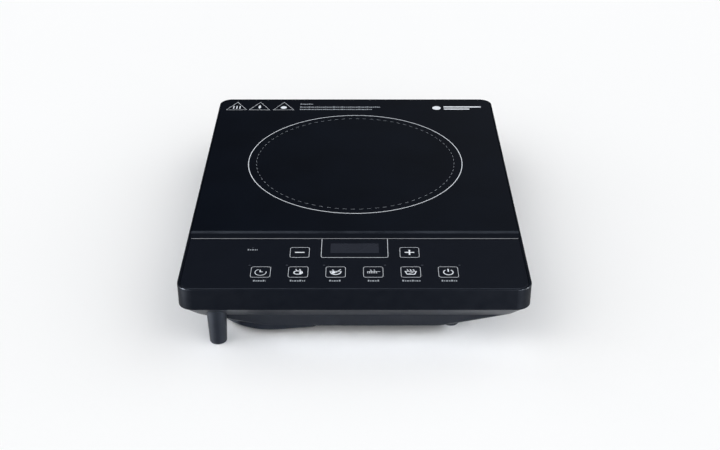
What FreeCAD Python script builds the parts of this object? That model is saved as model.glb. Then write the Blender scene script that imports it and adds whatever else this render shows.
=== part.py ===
"""Portable single-zone induction cooktop, as separate pieces, in millimetres.

Frame: origin on the worktop under the centre of the body, +X to the right of someone
facing the controls, +Y from the controls to the back, +Z up.
"""

import FreeCAD, Part
import math
import os

V = FreeCAD.Vector

# ---- overall size ----
WIDTH, DEPTH, HEIGHT = 280.0, 360.0, 60.0
CORNER_R = 12.0
HALF_W, HALF_D = WIDTH / 2, DEPTH / 2
FRONT, BACK = -HALF_D, HALF_D
SKIRT_H = 19.3
PARTING_Z = HEIGHT - SKIRT_H
WALL = 2.5

# ---- top: glass, control plate and the bar between them ----
RIM = 1.2
SIDE_RIM = 2.2
REVEAL = 0.3
FACE_TOP = HEIGHT - 0.06
GLASS_T = 3.94
GLASS_BOTTOM = FACE_TOP - GLASS_T
GLASS_FRONT = FRONT + 90.0
GLASS_BEVEL_Y, GLASS_BEVEL_Z = 2.5, 1.2
SEAL_T = 0.6
LEDGE_TOP = GLASS_BOTTOM - SEAL_T
LEDGE_T = 3.0
LEDGE_W = 17.8
PLATE_T = 1.44
PLATE_BOTTOM = FACE_TOP - PLATE_T
PLATE_BACK = FRONT + 79.4
BAR_TOP = HEIGHT - 0.8
DECK_T = 2.0
DECK_BOTTOM = PLATE_BOTTOM - DECK_T
COIL_X, COIL_Y = 0.0, FRONT + 220.0

# ---- keys, indicator lamps and display ----
KEY = 14.9
KEY_GAP = 0.15
KEY_R = 2.3
KEY_TRAVEL = 0.5
LOWER_KEY_Y = FRONT + 25.5
UPPER_KEY_Y = FRONT + 55.4
KEY_PITCH = 30.0
LOWER_KEYS = ("timer", "steam", "soup", "grill", "hot_pot", "power")
KEYS = {name: (KEY_PITCH * (i - 2.5), LOWER_KEY_Y) for i, name in enumerate(LOWER_KEYS)}
KEYS["minus"] = (-1.5 * KEY_PITCH, UPPER_KEY_Y)
KEYS["plus"] = (1.5 * KEY_PITCH, UPPER_KEY_Y)
LAMP_R = 1.0
LAMP_Y = FRONT + 35.8
LAMPS = [(x + math.copysign(9.6, x), LAMP_Y) for x, y in KEYS.values() if y == LOWER_KEY_Y]
LAMPS.append((-84.0, FRONT + 62.6))
WINDOW_W, WINDOW_D = 40.0, 15.4
WINDOW_Y = FRONT + 62.2

# ---- control board ----
BOARD_T = 1.6
CONTROL_TOP = 50.5
SWITCH, SWITCH_H = 6.0, 3.5
PLUNGER_R, PLUNGER_Z = 1.7, 1.4
CONTROL_HALF_W = 106.0
CONTROL_FRONT, CONTROL_BACK = FRONT + 9.0, FRONT + 72.0
CONTROL_FIXINGS = [(x, y) for x in (-99.0, 99.0) for y in (FRONT + 14.0, FRONT + 67.0)]

# ---- underside: three outlines, each (height, half width, half depth, corner radius) ----
HULL_TOP = (PARTING_Z, HALF_W - 0.5, HALF_D - 0.5, CORNER_R - 0.5)
HULL_MID = (24.5, 134.2, HALF_D - 17.0, 14.5)
HULL_LOW = (10.0, 115.0, HALF_D - 22.5, 51.0)
INNER_TOP = (PARTING_Z, 136.2, HALF_D - 3.8, 9.0)
INNER_MID = (25.3, 131.0, HALF_D - 19.5, 12.0)
INNER_LOW = (HULL_LOW[0] + WALL, 114.7, HALF_D - 24.0, 49.0)
FLOOR_TOP = INNER_LOW[0]
LIP_H = 4.0

# ---- fan sump, which hangs lowest, and the fan in it ----
SUMP_X, SUMP_Y, SUMP_R = -69.0, FRONT + 73.5, 51.0
SUMP_RIGHT = -30.0
SUMP_BOTTOM = 6.0
SUMP_SLANT = math.radians(7.4)
FAN_X, FAN_Y = -77.0, SUMP_Y
FAN_RING_R, FAN_BORE_R, FAN_TIP_R, FAN_HUB_R = 38.5, 36.8, 35.5, 14.0
FAN_BOTTOM, FAN_TOP = 10.0, 27.0
FAN_EAR_R = 45.0
FAN_EAR_ANGLES = (0.0, 115.0, -80.0)
FAN_POST_R = 3.8
FAN_SHAFT_R = 1.5
FAN_BEARING_R = 2.4
FAN_BLADES = 7

# ---- feet ----
FOOT_ROOT_R, FOOT_TIP_R = 8.4, 7.0
PAD_T, PAD_R = 0.8, 5.6
PAD_STEM_R, PAD_STEM_H = 2.5, 4.0
FOOT_EDGE_R = 1.0
FRONT_LEFT_FOOT = (-111.0, FRONT + 15.4)
OTHER_FEET = ((79.8, FRONT + 41.7), (-79.8, BACK - 41.7), (79.8, BACK - 41.7))
FEET = (FRONT_LEFT_FOOT, *OTHER_FEET)

# ---- screws ----
CASE_SCREWS = [(x, y) for x in (-128.0, 128.0) for y in (-138.0, 0.0, 148.0)]
CASE_TOWER_TOP = 42.0
CASE_SCREW_SEAT = 36.0

# ---- cord entry in the back skirt ----
GLAND_X, GLAND_Z = -85.0, 47.0
GLAND_BORE_R, GLAND_NECK_R, GLAND_COLLAR_R = 3.7, 5.4, 7.2
GLAND_FLANGE_T = 2.2
GLAND_RECESS_HALF_W = 11.0
GLAND_OUT, GLAND_IN = BACK - 2.2, BACK - 5.2

# ---- coil ----
COIL_BOTTOM, TURN = 50.4, 3.0
COIL_GROUPS = ((24.0, 9), (57.0, 11))
FORMER_T = 2.8
FORMER_R = 93.0
COIL_EAR_R = 98.0
COIL_FIXING_ANGLES = (22.0, 158.0, 202.0, 338.0)
FERRITE = (55.0, 14.0, 4.0)
MICA_T = 0.5

# ---- main board and what stands on it ----
MAIN_X0, MAIN_X1 = -22.0, 98.0
MAIN_Y0, MAIN_Y1 = FRONT + 34.0, FRONT + 174.0
MAIN_BOTTOM = 18.0
MAIN_TOP = MAIN_BOTTOM + BOARD_T
MAIN_FIXINGS = [(x, y) for x in (MAIN_X0 + 6, MAIN_X1 - 6) for y in (MAIN_Y0 + 6, MAIN_Y1 - 6)]
SINK_X0, SINK_X1, SINK_Y0, SINK_Y1 = -8.0, 60.0, -122.0, -74.0
SINK_TOP = MAIN_TOP + 25.0
PAD_FILM_T = 0.3
DEVICE_Z = MAIN_TOP + 17.0
IGBT_X, IGBT_W, IGBT_T = 8.0, 16.0, 5.0
BRIDGE_X, BRIDGE_W, BRIDGE_T = 42.0, 26.0, 3.8
BLOCKS = {  # x, y, width, depth, height, corner radius
    "resonant_capacitor": (82.0, -104.0, 24.0, 40.0, 25.0, 1.0),
    "filter_capacitor": (82.0, -66.0, 24.0, 26.0, 22.0, 1.0),
    "mains_filter_capacitor": (14.0, -16.0, 18.0, 9.0, 15.0, 1.0),
    "aux_transformer": (-8.0, -63.0, 14.0, 12.0, 13.0, 0.6),
}
FAN_SOCKET = (-14.0, -96.0, 6.0, 10.0, 7.0)
SENSOR_SOCKET = (-14.0, -80.0, 6.0, 8.0, 7.0)
RIBBON_SOCKET = (72.0, -138.0, 12.0, 6.0, 8.0)
CAN_R, CAN_H = 5.0, 16.0
CANS = ((68.0, -22.0), (82.0, -22.0))
TOROID_X, TOROID_Y, TOROID_IN, TOROID_OUT = 38.0, -32.0, 7.0, 15.0
BUZZER_X, BUZZER_Y, BUZZER_R, BUZZER_H = 30.0, FRONT + 36.0, 6.0, 6.0
CHIP_X, CHIP_Y = -40.0, FRONT + 38.0

# ---- inner leads: radius and route, from end to end ----
COIL_LEAD_R, THIN_LEAD_R = 1.4, 0.9
OUTER_COIL_LEAD = (
    (33.0, -47.5, 52.0), (39.0, -55.0, 50.0), (50.0, -58.0, 44.0), (64.0, -50.0, 37.0),
    (74.0, -41.0, 32.0), (76.0, -37.0, 26.0), (76.0, -37.0, MAIN_TOP),
)
INNER_COIL_LEAD = (
    (0.0, 14.5, COIL_BOTTOM - 0.1), (0.0, 14.5, 46.8), (1.0, 6.0, 45.0), (3.0, -12.0, 44.2),
    (12.0, -36.0, 42.0), (30.0, -52.0, 40.0), (50.0, -50.0, 37.0), (64.0, -42.0, 33.0),
    (67.0, -37.0, 27.0), (67.0, -37.0, MAIN_TOP),
)
SENSOR_LEAD = (
    (0.0, COIL_Y, COIL_BOTTOM - FORMER_T - 2.0), (0.0, COIL_Y, 42.0), (-6.0, 28.0, 38.0),
    (-16.0, 2.0, 36.0), (-20.0, -28.0, 36.5), (-18.0, -56.0, 36.0), (-15.0, -76.0, 34.0),
    (-14.0, -80.0, 31.0), (-14.0, -80.0, MAIN_TOP + SENSOR_SOCKET[4]),
)
FAN_LEAD = (
    (-43.5, -87.2, 14.0), (-38.0, -84.5, 15.5), (-30.0, -85.0, 21.0), (-23.0, -90.0, 28.0),
    (-17.0, -95.0, 32.0), (-14.0, -96.0, 30.5), (-14.0, -96.0, MAIN_TOP + FAN_SOCKET[4]),
)
RIBBON_W, RIBBON_T = 10.0, 0.8
RIBBON = (
    (72.0, -138.0, MAIN_TOP + RIBBON_SOCKET[4]), (72.0, -138.0, 31.5), (72.0, -135.5, 36.0),
    (72.0, -140.5, 41.0), (72.0, -138.0, 45.5), (72.0, -138.0, CONTROL_TOP - BOARD_T),
)


# ---------------------------------------------------------------- shape helpers
def outline(half_w, half_d, radius, z, y0=None, y1=None, back_r=None):
    """Rounded rectangle wire centred on X, from y0 to y1 (or +-half_d), at height z."""
    y0 = -half_d if y0 is None else y0
    y1 = half_d if y1 is None else y1
    back_r = radius if back_r is None else back_r
    corners = (
        (-half_w + radius, y0 + radius, 180, radius),
        (half_w - radius, y0 + radius, 270, radius),
        (half_w - back_r, y1 - back_r, 0, back_r),
        (-half_w + back_r, y1 - back_r, 90, back_r),
    )
    arcs = []
    for cx, cy, start, r in corners:
        arcs.append(Part.Arc(*[V(*polar(cx, cy, r, start + turn), z) for turn in (0, 45, 90)]).toShape())
    edges = []
    for arc, following in zip(arcs, arcs[1:] + arcs[:1]):
        run = Part.LineSegment(arc.lastVertex().Point, following.firstVertex().Point)
        edges += [arc, run.toShape()]
    return Part.Wire(edges)


def prism(wire, height):
    return Part.Face(wire).extrude(V(0, 0, height))


def slab(half_w, half_d, radius, z0, z1, **spans):
    """Rounded slab between heights z0 and z1."""
    return prism(outline(half_w, half_d, radius, z0, **spans), z1 - z0)


def block(width, depth, radius, x, y, z0, z1):
    """Rounded block centred on x, y."""
    shape = slab(width / 2, depth / 2, radius, z0, z1)
    shape.translate(V(x, y, 0))
    return shape


def box(x0, x1, y0, y1, z0, z1):
    return Part.makeBox(x1 - x0, y1 - y0, z1 - z0, V(x0, y0, z0))


def rod(radius, x, y, z0, z1):
    return Part.makeCylinder(radius, z1 - z0, V(x, y, z0))


def cone(r0, r1, x, y, z0, z1):
    return Part.makeCone(r0, r1, z1 - z0, V(x, y, z0))


def ring(r_in, r_out, x, y, z0, z1):
    return rod(r_out, x, y, z0, z1).cut(rod(r_in, x, y, z0 - 1, z1 + 1))


def along_y(radius, x, z, y0, y1):
    return Part.makeCylinder(radius, y1 - y0, V(x, y0, z), V(0, 1, 0))


def polar(x, y, radius, degrees):
    """Point at a radius and an angle round x, y."""
    angle = math.radians(degrees)
    return x + radius * math.cos(angle), y + radius * math.sin(angle)


def fuse(shapes):
    shapes = list(shapes)
    return shapes[0].multiFuse(shapes[1:]).removeSplitter() if len(shapes) > 1 else shapes[0]


def cut(shape, tools):
    return shape.cut(list(tools)).removeSplitter()


def turned(shape, degrees, x, y):
    copy = shape.copy()
    copy.rotate(V(x, y, 0), V(0, 0, 1), degrees)
    return copy


def eased(shape, radius, pick):
    """Rounds the edges that pick(edge) chooses."""
    return shape.makeFillet(radius, [edge for edge in shape.Edges if pick(edge)])


def at_height(z):
    """Chooses edges that lie flat at height z."""
    return lambda edge: abs(edge.BoundBox.ZMin - z) < 1e-4 and abs(edge.BoundBox.ZMax - z) < 1e-4


def swept(points, profile):
    """Profile swept along straight runs joined by the largest tangent arcs that they allow."""
    corners = [V(*point) for point in points]
    edges = []
    start = corners[0]
    for a, b, c in zip(corners, corners[1:], corners[2:]):
        back, ahead = (a - b).normalize(), (c - b).normalize()
        reach = 0.45 * min((a - b).Length, (c - b).Length)
        half = back.getAngle(ahead) / 2
        middle = b + (back + ahead).normalize() * (reach / math.cos(half) - reach * math.tan(half))
        edges.append(Part.LineSegment(start, b + back * reach).toShape())
        edges.append(Part.Arc(b + back * reach, middle, b + ahead * reach).toShape())
        start = b + ahead * reach
    edges.append(Part.LineSegment(start, corners[-1]).toShape())
    return Part.Wire(edges).makePipeShell([profile], True, False)


def tube(points, radius):
    first, second = V(*points[0]), V(*points[1])
    return swept(points, Part.Wire(Part.makeCircle(radius, first, second - first)))


# ---------------------------------------------------------------- lower housing
def hull(top, mid, low):
    """Solid between three outlines."""
    high, middle, bottom = [outline(w, d, r, z) for z, w, d, r in (top, mid, low)]
    return fuse([Part.makeLoft([middle, high], True, True), Part.makeLoft([bottom, middle], True, True)])


def sump_prism(inset, z0, z1):
    """D-shaped prism of the fan sump: a round left side and a slanted front."""
    r = SUMP_R - inset
    right = SUMP_RIGHT - inset
    start = V(SUMP_X + r * math.sin(SUMP_SLANT), SUMP_Y - r * math.cos(SUMP_SLANT), z0)
    left = V(SUMP_X - r, SUMP_Y, z0)
    back = V(SUMP_X, SUMP_Y + r, z0)
    front_right = V(right, start.y + (right - start.x) * math.tan(SUMP_SLANT), z0)
    back_right = V(right, back.y, z0)
    edges = [
        Part.Arc(start, left, back).toShape(),
        Part.LineSegment(back, back_right).toShape(),
        Part.LineSegment(back_right, front_right).toShape(),
        Part.LineSegment(front_right, start).toShape(),
    ]
    solid = prism(Part.Wire(edges), z1 - z0)
    corner_r = 6.0 - inset / 2
    return eased(
        solid,
        corner_r,
        lambda e: e.BoundBox.ZLength > z1 - z0 - 0.01 and abs(e.BoundBox.Center.x - right) < 0.001,
    )


def foot_post(x, y):
    root_z = PARTING_Z - 6.0 if (x, y) == FRONT_LEFT_FOOT else FLOOR_TOP
    return eased(cone(FOOT_TIP_R, FOOT_ROOT_R, x, y, PAD_T, root_z), FOOT_EDGE_R, at_height(PAD_T))


def grille():
    """Ring slots through the sump's floor, crossed by spokes."""
    z0, z1 = SUMP_BOTTOM - 1, SUMP_BOTTOM + WALL + 1
    slots = fuse([ring(r, r + 3.2, FAN_X, FAN_Y, z0, z1) for r in (8.0, 14.0, 20.0, 26.0, 32.0)])
    spoke = box(FAN_X, FAN_X + 40, FAN_Y - 1.5, FAN_Y + 1.5, z0 - 1, z1 + 1)
    return slots.cut([turned(spoke, angle, FAN_X, FAN_Y) for angle in range(0, 360, 60)])


def vent_slots():
    """Exhaust slots through the sloping back and right walls."""
    z0, z1 = 26.5, 37.0
    back = [box(x - 1.6, x + 1.6, BACK - 24, BACK + 1, z0, z1) for x in range(-50, 111, 8)]
    side = [box(HALF_W - 16, HALF_W + 1, y - 1.6, y + 1.6, z0, z1) for y in range(36, 125, 8)]
    return back + side


def coil_fixings():
    return [polar(COIL_X, COIL_Y, COIL_EAR_R, angle) for angle in COIL_FIXING_ANGLES]


def fan_fixings():
    return [polar(FAN_X, FAN_Y, FAN_EAR_R, angle) for angle in FAN_EAR_ANGLES]


def bottom_case():
    outer = hull(HULL_TOP, HULL_MID, HULL_LOW)
    lip = slab(137.2, HALF_D - 2.8, 9.2, PARTING_Z - 2.0, PARTING_Z + LIP_H)
    filled = fuse([outer, lip, sump_prism(0.0, SUMP_BOTTOM, FLOOR_TOP + 8.0)])
    shell = fuse([filled, *[foot_post(x, y) for x, y in FEET]])
    lip_bore = slab(135.2, HALF_D - 4.8, 7.2, PARTING_Z - 0.5, PARTING_Z + LIP_H + 1)
    gland_gap = box(GLAND_X - 14.3, GLAND_X + 14.3, GLAND_IN - 0.3, BACK, PARTING_Z, PARTING_Z + LIP_H + 1)
    inner = hull(INNER_TOP, INNER_MID, INNER_LOW)
    shell = cut(shell, [inner, lip_bore, gland_gap, sump_prism(WALL, SUMP_BOTTOM + WALL, 24.0)])

    screw_wells = [rod(5.6, x, y, 14.0, CASE_TOWER_TOP).common(filled) for x, y in CASE_SCREWS]
    board_posts = [rod(4.0, x, y, FLOOR_TOP - 1, MAIN_BOTTOM) for x, y in MAIN_FIXINGS]
    coil_posts = [rod(4.5, x, y, FLOOR_TOP - 1, COIL_BOTTOM - FORMER_T) for x, y in coil_fixings()]
    fan_posts = [rod(FAN_POST_R, x, y, SUMP_BOTTOM + 1, FAN_TOP - 3).common(filled) for x, y in fan_fixings()]
    saddle_half = GLAND_RECESS_HALF_W - 0.2
    saddle = box(
        GLAND_X - saddle_half, GLAND_X + saddle_half, GLAND_IN, GLAND_OUT - 0.6, PARTING_Z - 2, GLAND_Z - 0.1
    )
    shell = fuse([shell, *screw_wells, *board_posts, *coil_posts, *fan_posts, saddle])

    holes = [grille(), *vent_slots()]
    for x, y in CASE_SCREWS:
        holes += [rod(4.0, x, y, 0, CASE_SCREW_SEAT), rod(1.8, x, y, 30, CASE_TOWER_TOP + 1)]
    holes += [rod(1.5, x, y, FLOOR_TOP + 1, MAIN_BOTTOM + 1) for x, y in MAIN_FIXINGS]
    holes += [rod(1.5, x, y, COIL_BOTTOM - 16, COIL_BOTTOM) for x, y in coil_fixings()]
    holes += [rod(1.5, x, y, FAN_TOP - 12, FAN_TOP) for x, y in fan_fixings()]
    holes += [rod(PAD_STEM_R, x, y, 0, PAD_T + PAD_STEM_H) for x, y in FEET]
    holes.append(along_y(GLAND_NECK_R + 0.05, GLAND_X, GLAND_Z, GLAND_IN - 3, BACK))
    holes.append(along_y(GLAND_COLLAR_R + 0.3, GLAND_X, GLAND_Z, GLAND_OUT - 0.1, BACK))
    holes.append(along_y(GLAND_COLLAR_R + 0.3, GLAND_X, GLAND_Z, GLAND_IN - 3, GLAND_IN))
    return cut(shell, holes)


def foot_pads():
    pads = []
    for x, y in FEET:
        disc = eased(rod(PAD_R, x, y, 0, PAD_T), 0.4, at_height(0))
        pads.append(fuse([disc, rod(PAD_STEM_R, x, y, PAD_T - 0.1, PAD_T + PAD_STEM_H)]))
    return Part.makeCompound(pads)


# ---------------------------------------------------------------- upper housing
def top_frame():
    body = eased(slab(HALF_W, HALF_D, CORNER_R, PARTING_Z, HEIGHT), 0.9, at_height(HEIGHT))
    glass_y0 = GLASS_FRONT - GLASS_BEVEL_Y - REVEAL
    glass_pocket = slab(
        HALF_W - RIM, 0, 1.5, LEDGE_TOP, HEIGHT + 1, y0=glass_y0, y1=BACK - RIM, back_r=CORNER_R - RIM
    )
    opening = slab(
        HALF_W - RIM - LEDGE_W, 0, 8.0, PARTING_Z - 1, HEIGHT, y0=GLASS_FRONT + 8.0, y1=BACK - RIM - 9.8
    )
    cavity = slab(HALF_W - WALL, HALF_D - WALL, CORNER_R - WALL, PARTING_Z - 1, LEDGE_TOP - LEDGE_T)
    deck_cavity = slab(
        HALF_W - WALL, 0, CORNER_R - WALL, PARTING_Z - 1, DECK_BOTTOM,
        y0=FRONT + WALL, y1=PLATE_BACK - 1.4, back_r=2.0,
    )
    plate_pocket = slab(
        HALF_W - SIDE_RIM, 0, CORNER_R - SIDE_RIM, PLATE_BOTTOM, HEIGHT + 1,
        y0=FRONT + RIM, y1=PLATE_BACK + REVEAL, back_r=1.0,
    )
    bar_recess = box(RIM - HALF_W, HALF_W - RIM, PLATE_BACK - 1, GLASS_FRONT, BAR_TOP, HEIGHT + 1)
    body = cut(body, [glass_pocket, opening, cavity, deck_cavity, plate_pocket, bar_recess])

    bosses = [
        rod(4.6, x, y, CASE_TOWER_TOP, (DECK_BOTTOM if y < PLATE_BACK else LEDGE_TOP - LEDGE_T) + 1)
        for x, y in CASE_SCREWS
    ]
    bosses += [rod(3.5, x, y, CONTROL_TOP, DECK_BOTTOM + 1) for x, y in CONTROL_FIXINGS]
    gland_wall = box(GLAND_X - 14, GLAND_X + 14, GLAND_IN, BACK - 1, PARTING_Z, LEDGE_TOP - LEDGE_T + 1)
    body = fuse([body, *bosses, gland_wall])

    holes = [block(KEY + 0.5, KEY + 0.5, KEY_R, x, y, DECK_BOTTOM - 1, HEIGHT) for x, y in KEYS.values()]
    holes.append(block(WINDOW_W - 1, WINDOW_D - 1, 1.0, 0, WINDOW_Y, DECK_BOTTOM - 1, HEIGHT))
    holes += [rod(LAMP_R + 0.6, x, y, DECK_BOTTOM - 1, HEIGHT) for x, y in LAMPS]
    holes += [rod(1.5, x, y, CASE_TOWER_TOP - 1, CASE_TOWER_TOP + 9) for x, y in CASE_SCREWS]
    holes += [rod(1.25, x, y, CONTROL_TOP - 1, DECK_BOTTOM - 1) for x, y in CONTROL_FIXINGS]
    half, neck = GLAND_RECESS_HALF_W, GLAND_NECK_R + 0.05
    holes.append(box(GLAND_X - half, GLAND_X + half, GLAND_OUT, BACK + 1, PARTING_Z - 1, GLAND_Z + 8.6))
    holes.append(along_y(neck, GLAND_X, GLAND_Z, GLAND_IN - 3, BACK + 1))
    holes.append(box(GLAND_X - half, GLAND_X + half, GLAND_IN - 1, GLAND_OUT - 0.4, PARTING_Z - 1, GLAND_Z))
    holes.append(box(GLAND_X - neck, GLAND_X + neck, GLAND_IN - 1, BACK, PARTING_Z - 1, GLAND_Z))
    holes.append(box(GLAND_X - 8.5, GLAND_X + 8.5, GLAND_IN - 5, GLAND_IN, PARTING_Z, LEDGE_TOP - 0.8))
    return cut(body, holes)


def cord_gland():
    out_face = GLAND_OUT + GLAND_FLANGE_T - 0.2
    body = fuse([
        along_y(GLAND_COLLAR_R, GLAND_X, GLAND_Z, GLAND_IN - GLAND_FLANGE_T, GLAND_IN),
        along_y(GLAND_NECK_R, GLAND_X, GLAND_Z, GLAND_IN - 1, GLAND_OUT + 1),
        along_y(GLAND_COLLAR_R, GLAND_X, GLAND_Z, GLAND_OUT, out_face),
    ])
    body = eased(body, 0.8, lambda e: e.BoundBox.YMin > out_face - 0.001)
    return cut(body, [along_y(GLAND_BORE_R, GLAND_X, GLAND_Z, BACK - 20, BACK + 5)])


def glass_plate():
    half = HALF_W - RIM - REVEAL
    y0 = GLASS_FRONT - GLASS_BEVEL_Y
    y1 = BACK - RIM - REVEAL
    plate = slab(half, 0, 1.0, GLASS_BOTTOM, FACE_TOP, y0=y0, y1=y1, back_r=CORNER_R - RIM - REVEAL)
    low, high = FACE_TOP - GLASS_BEVEL_Z, FACE_TOP + 2
    profile = ((y0, low), (GLASS_FRONT, FACE_TOP), (GLASS_FRONT, high), (y0 - 2, high), (y0 - 2, low))
    wedge = Part.Face(Part.makePolygon([V(-HALF_W, y, z) for y, z in (*profile, profile[0])]))
    plate = cut(plate, [wedge.extrude(V(WIDTH, 0, 0))])
    rim = [e for e in plate.Edges if at_height(FACE_TOP)(e) and e.BoundBox.YMax > GLASS_FRONT + 1]
    return plate.makeChamfer(0.35, rim)


def glass_seal():
    half = HALF_W - RIM - REVEAL - 1.0
    y0, y1 = GLASS_FRONT - 1.0, BACK - RIM - REVEAL - 1.0
    corner_r = CORNER_R - RIM - REVEAL - 1.0
    outer = slab(half, 0, 1.0, LEDGE_TOP, GLASS_BOTTOM, y0=y0, y1=y1, back_r=corner_r)
    inner = slab(half - 5, 0, 3.0, LEDGE_TOP - 1, GLASS_BOTTOM + 1, y0=y0 + 5, y1=y1 - 5, back_r=corner_r - 5)
    return outer.cut(inner)


def control_plate():
    plate = slab(
        HALF_W - SIDE_RIM - REVEAL, 0, CORNER_R - SIDE_RIM - REVEAL, PLATE_BOTTOM, FACE_TOP,
        y0=FRONT + RIM + REVEAL, y1=PLATE_BACK, back_r=0.8,
    )
    plate = plate.makeChamfer(0.3, [e for e in plate.Edges if at_height(FACE_TOP)(e)])
    z0, z1 = PLATE_BOTTOM - 1, HEIGHT + 1
    opening = KEY + 2 * KEY_GAP
    holes = [block(opening, opening, KEY_R + KEY_GAP, x, y, z0, z1) for x, y in KEYS.values()]
    holes.append(block(WINDOW_W, WINDOW_D, 0.8, 0, WINDOW_Y, z0, z1))
    holes += [rod(LAMP_R, x, y, z0, z1) for x, y in LAMPS]
    return cut(plate, holes)


def display_window():
    return block(WINDOW_W - 0.1, WINDOW_D - 0.1, 0.7, 0, WINDOW_Y, PLATE_BOTTOM, FACE_TOP - 0.1)


def lamp_windows():
    return Part.makeCompound([rod(LAMP_R - 0.03, x, y, PLATE_BOTTOM - 0.8, FACE_TOP - 0.05) for x, y in LAMPS])


# ---------------------------------------------------------------- controls
def key(x, y):
    """Hollow key cap with a retaining flange, and a stem that ends in its switch."""
    flange_z = DECK_BOTTOM - 0.9
    cap = eased(block(KEY, KEY, KEY_R, x, y, flange_z, FACE_TOP), 0.2, at_height(FACE_TOP))
    cap = fuse([cap, block(KEY + 2.2, KEY + 2.2, 2.0, x, y, flange_z, flange_z + 0.8)])
    cap = cut(cap, [block(KEY - 2.6, KEY - 2.6, 1.0, x, y, flange_z - 1, FACE_TOP - 1.6)])
    stem = rod(2.4, x, y, CONTROL_TOP + SWITCH_H + 1.3, FACE_TOP - 1.2)
    plunger = rod(PLUNGER_R, x, y, CONTROL_TOP + PLUNGER_Z, CONTROL_TOP + SWITCH_H + 2)
    return fuse([cap, stem, plunger])


def tact_switches():
    bodies = []
    for x, y in KEYS.values():
        body = block(SWITCH, SWITCH, 0.4, x, y, CONTROL_TOP, CONTROL_TOP + SWITCH_H)
        bore_z = CONTROL_TOP + PLUNGER_Z - KEY_TRAVEL - 0.2
        bodies.append(body.cut(rod(PLUNGER_R + 0.1, x, y, bore_z, HEIGHT)))
    return Part.makeCompound(bodies)


def control_board():
    bottom = CONTROL_TOP - BOARD_T
    board = slab(CONTROL_HALF_W, 0, 3.0, bottom, CONTROL_TOP, y0=CONTROL_FRONT, y1=CONTROL_BACK)
    return cut(board, [rod(1.6, x, y, 0, HEIGHT) for x, y in CONTROL_FIXINGS])


def led_display():
    top = PLATE_BOTTOM - 0.4
    return eased(box(-19, 19, WINDOW_Y - 6.6, WINDOW_Y + 6.6, CONTROL_TOP, top), 0.4, at_height(top))


def indicator_lamps():
    lamps = []
    for x, y in LAMPS:
        bulb = rod(0.9, x, y, CONTROL_TOP, CONTROL_TOP + 5.4)
        lamps.append(fuse([bulb, rod(1.2, x, y, CONTROL_TOP, CONTROL_TOP + 1)]))
    return Part.makeCompound(lamps)


def microcontroller():
    top = CONTROL_TOP - BOARD_T
    chip = box(CHIP_X - 9, CHIP_X + 9, CHIP_Y - 3.8, CHIP_Y + 3.8, top - 2.4, top - 0.4)
    legs = []
    for i in range(10):
        x = CHIP_X - 8 + i * 16 / 9
        legs.append(box(x - 0.3, x + 0.3, CHIP_Y - 5.2, CHIP_Y + 5.2, top - 1.0, top))
    return fuse([chip, *legs])


def buzzer():
    top = CONTROL_TOP - BOARD_T
    body = rod(BUZZER_R, BUZZER_X, BUZZER_Y, top - BUZZER_H, top)
    return body.cut(rod(1.0, BUZZER_X, BUZZER_Y, top - BUZZER_H - 1, top - 3))


# ---------------------------------------------------------------- coil
def winding(first, turns):
    """Flat winding of round litz, drawn as one disc with an eight-sided rib for each turn."""
    r, z = TURN / 2, COIL_BOTTOM + TURN / 2
    rib = ((-r * 0.97, 0.35), (-r * 0.68, r * 0.73), (-r * 0.25, r), (r * 0.25, r), (r * 0.68, r * 0.73))
    inside, outside = first + r * 0.03, first + TURN * turns - r * 0.03
    middles = [first + TURN * (i + 0.5) for i in range(turns)]
    upper = [V(middle + dx, 0, z + dz) for middle in middles for dx, dz in rib]
    upper = [V(inside, 0, z + rib[0][1]), *upper[1:], V(outside, 0, z + rib[0][1])]
    lower = [V(p.x, 0, 2 * z - p.z) for p in reversed(upper)]
    disc = Part.Face(Part.makePolygon([*upper, *lower, upper[0]])).revolve(V(0, 0, 0), V(0, 0, 1), 360)
    disc.translate(V(COIL_X, COIL_Y, 0))
    return disc


def induction_coil():
    return Part.makeCompound([winding(first, turns) for first, turns in COIL_GROUPS])


def coil_former():
    z0, z1 = COIL_BOTTOM - FORMER_T, COIL_BOTTOM
    rings = [ring(a, b, COIL_X, COIL_Y, z0, z1) for a, b in ((12.0, 23.0), (50.0, 57.0), (88.0, FORMER_R))]
    spoke = box(COIL_X + 20, COIL_X + 90, COIL_Y - 8, COIL_Y + 8, z0, z1)
    spokes = [turned(spoke, angle, COIL_X, COIL_Y) for angle in range(0, 360, 60)]
    arm = box(COIL_X + FORMER_R - 3, COIL_X + COIL_EAR_R, COIL_Y - 5.5, COIL_Y + 5.5, z0, z1)
    arms = [turned(arm, angle, COIL_X, COIL_Y) for angle in COIL_FIXING_ANGLES]
    ears = [rod(5.5, x, y, z0, z1) for x, y in coil_fixings()]
    return cut(fuse([*rings, *spokes, *arms, *ears]), [rod(1.8, x, y, 0, HEIGHT) for x, y in coil_fixings()])


def ferrite_bars():
    length, width, thick = FERRITE
    top = COIL_BOTTOM - FORMER_T
    bar = box(COIL_X + 28, COIL_X + 28 + length, COIL_Y - width / 2, COIL_Y + width / 2, top - thick, top)
    return Part.makeCompound([turned(bar, angle, COIL_X, COIL_Y) for angle in range(0, 360, 60)])


def mica_sheet():
    z0 = COIL_BOTTOM + TURN + 0.2
    return ring(12.0, 91.0, COIL_X, COIL_Y, z0, z0 + MICA_T)


def sensor_holder():
    z0 = COIL_BOTTOM - FORMER_T - 2
    body = fuse([
        rod(11.8, COIL_X, COIL_Y, COIL_BOTTOM - FORMER_T, COIL_BOTTOM),
        cone(9.0, 5.0, COIL_X, COIL_Y, COIL_BOTTOM - 0.2, GLASS_BOTTOM - 0.6),
        rod(3.5, COIL_X, COIL_Y, z0, COIL_BOTTOM),
    ])
    return body.cut(rod(2.4, COIL_X, COIL_Y, z0 - 1, HEIGHT))


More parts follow.
